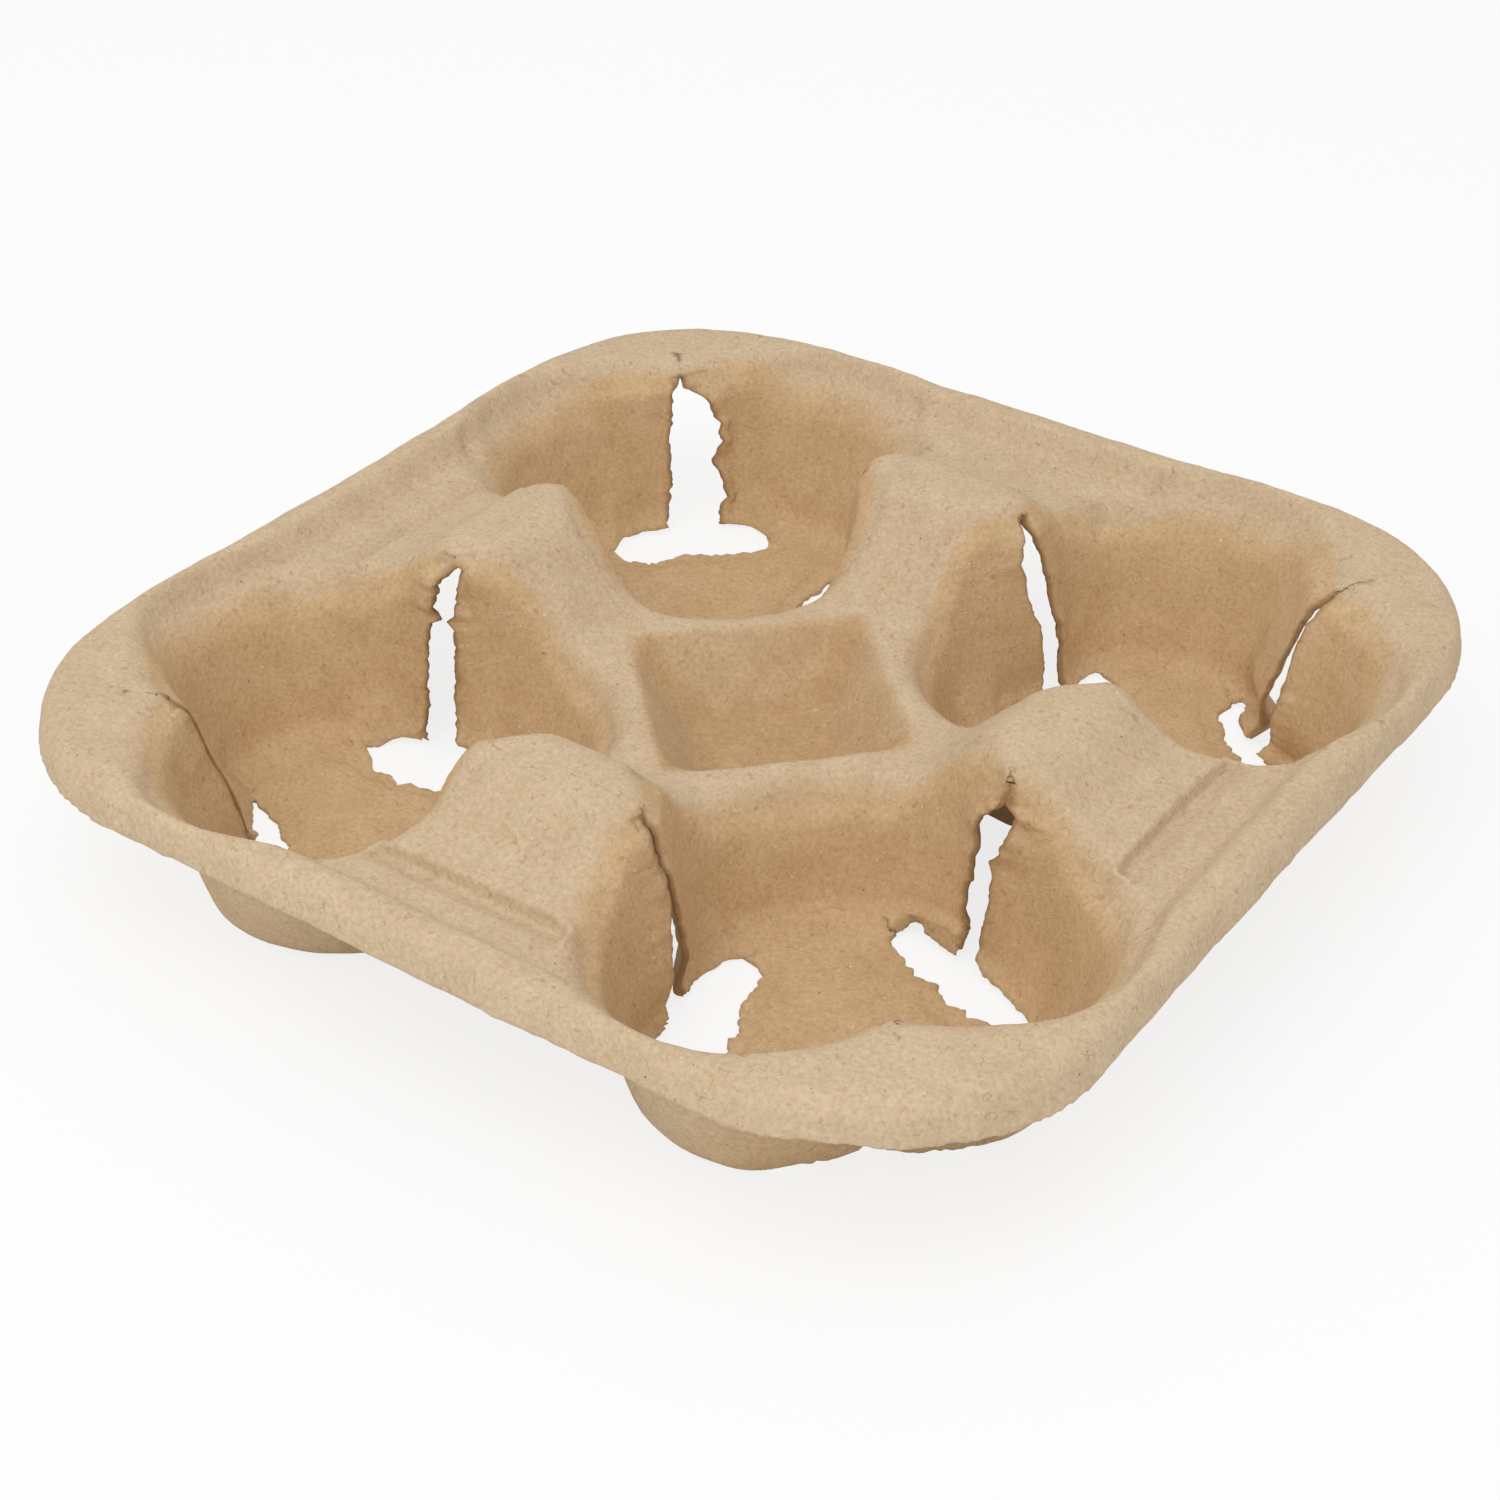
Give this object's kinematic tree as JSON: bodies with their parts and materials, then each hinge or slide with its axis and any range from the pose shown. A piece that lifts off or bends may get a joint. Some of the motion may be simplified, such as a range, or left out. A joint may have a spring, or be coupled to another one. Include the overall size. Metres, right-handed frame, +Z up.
{
  "type": "cup carrier tray",
  "caption": "Square moulded-pulp tray with deep slotted cup wells, raised saddles between them, a small middle well and a flat rolled rim with a short skirt.",
  "frame": {"origin": "on the table under the middle of the tray, in the plane of the four well bottoms", "axes": "+Z up out of the wells; +X and +Y square to two neighbouring sides, so the cup wells lie on the diagonals"},
  "size_m": [0.218, 0.218, 0.0443],
  "materials": {
    "pulp": "matte, fibrous, natural kraft brown"
  },
  "bodies": {
    "root": {"tray": "pulp"}
  },
  "joints": []
}
